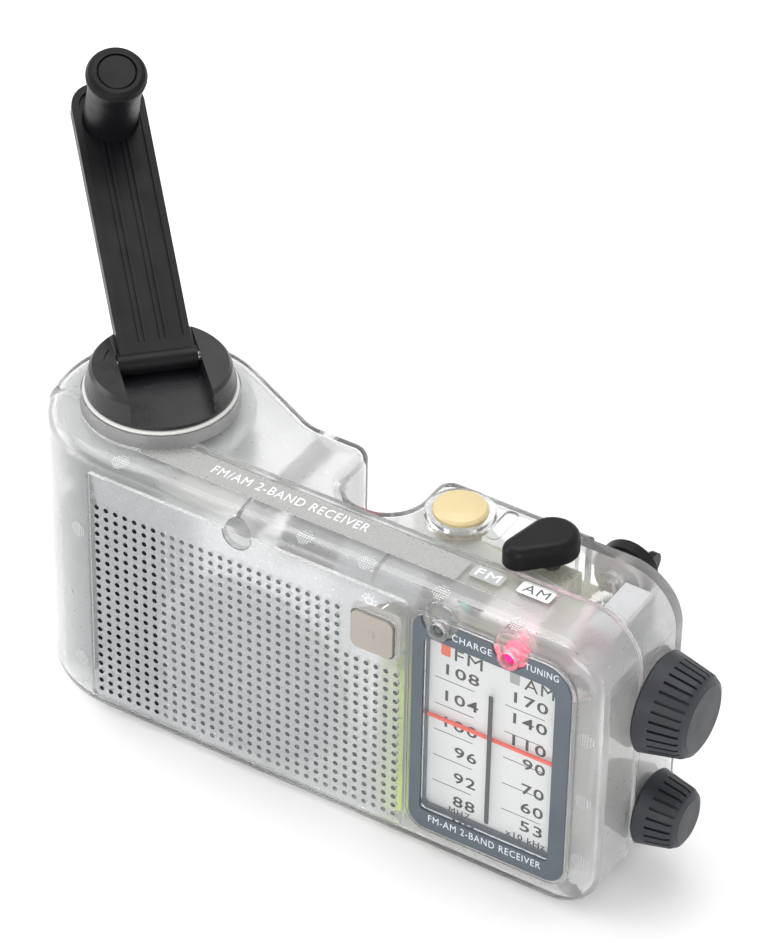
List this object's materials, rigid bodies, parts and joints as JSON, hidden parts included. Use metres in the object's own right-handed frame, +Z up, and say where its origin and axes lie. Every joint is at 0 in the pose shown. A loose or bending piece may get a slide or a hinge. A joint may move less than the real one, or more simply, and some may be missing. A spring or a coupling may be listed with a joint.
{
  "type": "emergency radio",
  "caption": "Clear-cased emergency radio with a fold-out dynamo crank, punched speaker grille, cord-driven dial, side knobs, band lever and telescopic aerial.",
  "frame": {"origin": "on the surface the radio stands on, under the middle of the case's length and of its straight part's depth", "axes": "+Z up, the front faces -Y, +X to the right as seen from the front"},
  "size_m": [0.22, 0.0891, 0.152],
  "materials": {
    "front_shell": "clear, slightly frosted inside",
    "rear_shell": "clear, slightly frosted inside",
    "case_screws": "zinc plated",
    "grille_panel": "clear",
    "dial_bezel": "satin",
    "dial_window": "clear",
    "dial_card": "printed",
    "pointer": "satin",
    "cord_frame": "satin",
    "cord_pulley_top": "satin",
    "cord_pulley_bottom": "satin",
    "dial_cord": "waxed thread",
    "tuning_knob": "satin",
    "tuning_shaft": "satin",
    "capacitor_gear": "satin",
    "tuning_capacitor": "satin",
    "volume_knob": "satin",
    "volume_control": "stamped",
    "band_lever": "satin",
    "top_button": "satin",
    "button_collar": "clear",
    "front_key": "matte",
    "charge_lamp": "clear red",
    "tuning_lamp": "lit red",
    "speaker_basket": "stamped",
    "speaker_cone": "pressed",
    "main_board": "printed board",
    "top_board": "printed board",
    "lamp_board": "printed board",
    "ferrite_rod": "sintered",
    "ferrite_coil": "enamelled wire",
    "rechargeable_pack": "shrink sleeve",
    "earphone_jack": "moulded",
    "charging_jack": "moulded",
    "battery_tray": "moulded",
    "battery_cell_1": "sleeve",
    "battery_cell_2": "sleeve",
    "battery_cell_3": "sleeve",
    "battery_contacts": "nickel plated",
    "battery_door": "clear",
    "crank_spindle": "turned",
    "drive_gear": "moulded",
    "idler_gear": "moulded",
    "dynamo_rotor": "turned",
    "gearbox_top_plate": "moulded",
    "gearbox_bottom_plate": "moulded",
    "dynamo_housing": "moulded",
    "crank_hub": "satin",
    "crank_hinge_pin": "drawn",
    "crank_washer": "moulded",
    "crank_arm": "satin",
    "crank_grip": "satin",
    "grip_cap": "satin",
    "grip_axle": "turned",
    "aerial_swivel": "polished",
    "aerial_knuckle": "satin",
    "aerial_tube_1": "polished",
    "aerial_tube_2": "polished",
    "aerial_tube_3": "polished",
    "aerial_tube_4": "polished"
  },
  "bodies": {
    "case": {"front_shell": "front_shell", "rear_shell": "rear_shell", "case_screws": "case_screws", "grille_panel": "grille_panel", "dial_bezel": "dial_bezel", "dial_window": "dial_window", "dial_card": "dial_card", "cord_frame": "cord_frame", "dial_cord": "dial_cord", "tuning_capacitor": "tuning_capacitor", "volume_control": "volume_control", "button_collar": "button_collar", "charge_lamp": "charge_lamp", "tuning_lamp": "tuning_lamp", "speaker_basket": "speaker_basket", "speaker_cone": "speaker_cone", "main_board": "main_board", "top_board": "top_board", "lamp_board": "lamp_board", "ferrite_rod": "ferrite_rod", "ferrite_coil": "ferrite_coil", "rechargeable_pack": "rechargeable_pack", "earphone_jack": "earphone_jack", "charging_jack": "charging_jack", "battery_tray": "battery_tray", "battery_cell_1": "battery_cell_1", "battery_cell_2": "battery_cell_2", "battery_cell_3": "battery_cell_3", "battery_contacts": "battery_contacts", "gearbox_top_plate": "gearbox_top_plate", "gearbox_bottom_plate": "gearbox_bottom_plate", "dynamo_housing": "dynamo_housing", "aerial_swivel": "aerial_swivel", "crank_washer": "crank_washer"},
    "crank": {"crank_spindle": "crank_spindle", "drive_gear": "drive_gear", "crank_hub": "crank_hub", "crank_hinge_pin": "crank_hinge_pin"},
    "arm": {"crank_arm": "crank_arm", "grip_axle": "grip_axle"},
    "grip": {"crank_grip": "crank_grip", "grip_cap": "grip_cap"},
    "idler": {"idler_gear": "idler_gear"},
    "rotor": {"dynamo_rotor": "dynamo_rotor"},
    "tuner": {"tuning_knob": "tuning_knob", "tuning_shaft": "tuning_shaft"},
    "tuner_wheel": {"capacitor_gear": "capacitor_gear"},
    "pointer": {"pointer": "pointer"},
    "pulley_top": {"cord_pulley_top": "cord_pulley_top"},
    "pulley_bottom": {"cord_pulley_bottom": "cord_pulley_bottom"},
    "volume": {"volume_knob": "volume_knob"},
    "lever": {"band_lever": "band_lever"},
    "button": {"top_button": "top_button"},
    "key": {"front_key": "front_key"},
    "door": {"battery_door": "battery_door"},
    "knuckle": {"aerial_knuckle": "aerial_knuckle"},
    "rod_1": {"aerial_tube_1": "aerial_tube_1"},
    "rod_2": {"aerial_tube_2": "aerial_tube_2"},
    "rod_3": {"aerial_tube_3": "aerial_tube_3"},
    "rod_4": {"aerial_tube_4": "aerial_tube_4"}
  },
  "joints": [
    {"name": "crank_turn", "type": "hinge", "parent": "case", "child": "crank", "pos_m": [-0.059, 0.0075, 0.09], "axis": [0, 0, 1], "continuous": true},
    {"name": "crank_fold", "type": "hinge", "parent": "crank", "child": "arm", "pos_m": [-0.06225, 0.01075, 0.0929], "axis": [0.7071, 0.7071, 0], "range_deg": [0, 152]},
    {"name": "grip_spin", "type": "hinge", "parent": "arm", "child": "grip", "pos_m": [-0.10131, 0.04981, 0.13812], "axis": [0.332, -0.332, 0.8829], "continuous": true},
    {"name": "idler_spin", "type": "hinge", "parent": "case", "child": "idler", "pos_m": [-0.03933, -0.00167, 0.074], "axis": [0, 0, 1], "continuous": true},
    {"name": "rotor_spin", "type": "hinge", "parent": "case", "child": "rotor", "pos_m": [-0.05312, -0.0041, 0.06], "axis": [0, 0, 1], "continuous": true},
    {"name": "tuning_turn", "type": "hinge", "parent": "case", "child": "tuner", "pos_m": [0.09, 0.004, 0.055], "axis": [1, 0, 0], "range_deg": [-320, 166]},
    {"name": "capacitor_turn", "type": "hinge", "parent": "case", "child": "tuner_wheel", "pos_m": [0.07, 0.004, 0.068], "axis": [1, 0, 0], "range_deg": [-62, 118.5]},
    {"name": "pointer_slide", "type": "slide", "parent": "case", "child": "pointer", "axis": [0, 0, 1], "range_m": [-0.028, 0.0145]},
    {"name": "pulley_top_turn", "type": "hinge", "parent": "case", "child": "pulley_top", "pos_m": [0.057, -0.0079, 0.072], "axis": [1, 0, 0], "range_deg": [-278, 535]},
    {"name": "pulley_bottom_turn", "type": "hinge", "parent": "case", "child": "pulley_bottom", "pos_m": [0.057, -0.0079, 0.0085], "axis": [1, 0, 0], "range_deg": [-278, 535]},
    {"name": "volume_turn", "type": "hinge", "parent": "case", "child": "volume", "pos_m": [0.09, 0.004, 0.0204], "axis": [1, 0, 0], "range_deg": [-150, 130]},
    {"name": "band_select", "type": "hinge", "parent": "case", "child": "lever", "pos_m": [0.0556, 0.0089, 0.086], "axis": [0, 0, 1], "range_deg": [0, 40]},
    {"name": "top_button_press", "type": "slide", "parent": "case", "child": "button", "axis": [0, 0, -1], "range_m": [0, 0.0013], "stiffness_N_per_m": 300, "springref_m": -0.0005},
    {"name": "front_key_press", "type": "slide", "parent": "case", "child": "key", "axis": [0, 1, 0], "range_m": [0, 0.0009], "stiffness_N_per_m": 300, "springref_m": -0.0005},
    {"name": "battery_door_open", "type": "hinge", "parent": "case", "child": "door", "pos_m": [0.0489, 0.0158, 0.00115], "axis": [1, 0, 0], "range_deg": [0, 100]},
    {"name": "aerial_swing", "type": "hinge", "parent": "case", "child": "knuckle", "pos_m": [0.0693, 0.0235, 0.0745], "axis": [0, -1, 0], "range_deg": [0, 180]},
    {"name": "aerial_tilt", "type": "hinge", "parent": "knuckle", "child": "rod_1", "pos_m": [0.0693, 0.0284, 0.0745], "axis": [1, 0, 0], "range_deg": [0, 90]},
    {"name": "aerial_slide_2", "type": "slide", "parent": "rod_1", "child": "rod_2", "axis": [0, 0, -1], "range_m": [0, 0.05]},
    {"name": "aerial_slide_3", "type": "slide", "parent": "rod_2", "child": "rod_3", "axis": [0, 0, -1], "range_m": [0, 0.05]},
    {"name": "aerial_slide_4", "type": "slide", "parent": "rod_3", "child": "rod_4", "axis": [0, 0, -1], "range_m": [0, 0.05]}
  ],
  "couplings": [
    {"joint": "idler_spin", "follows": "crank_turn", "ratio": -3.4286},
    {"joint": "rotor_spin", "follows": "crank_turn", "ratio": 12.571},
    {"joint": "capacitor_turn", "follows": "tuning_turn", "ratio": -0.36842},
    {"joint": "pointer_slide", "follows": "tuning_turn", "m_per_rad": 0.005},
    {"joint": "pulley_top_turn", "follows": "tuning_turn", "ratio": -1.6667},
    {"joint": "pulley_bottom_turn", "follows": "tuning_turn", "ratio": -1.6667}
  ]
}
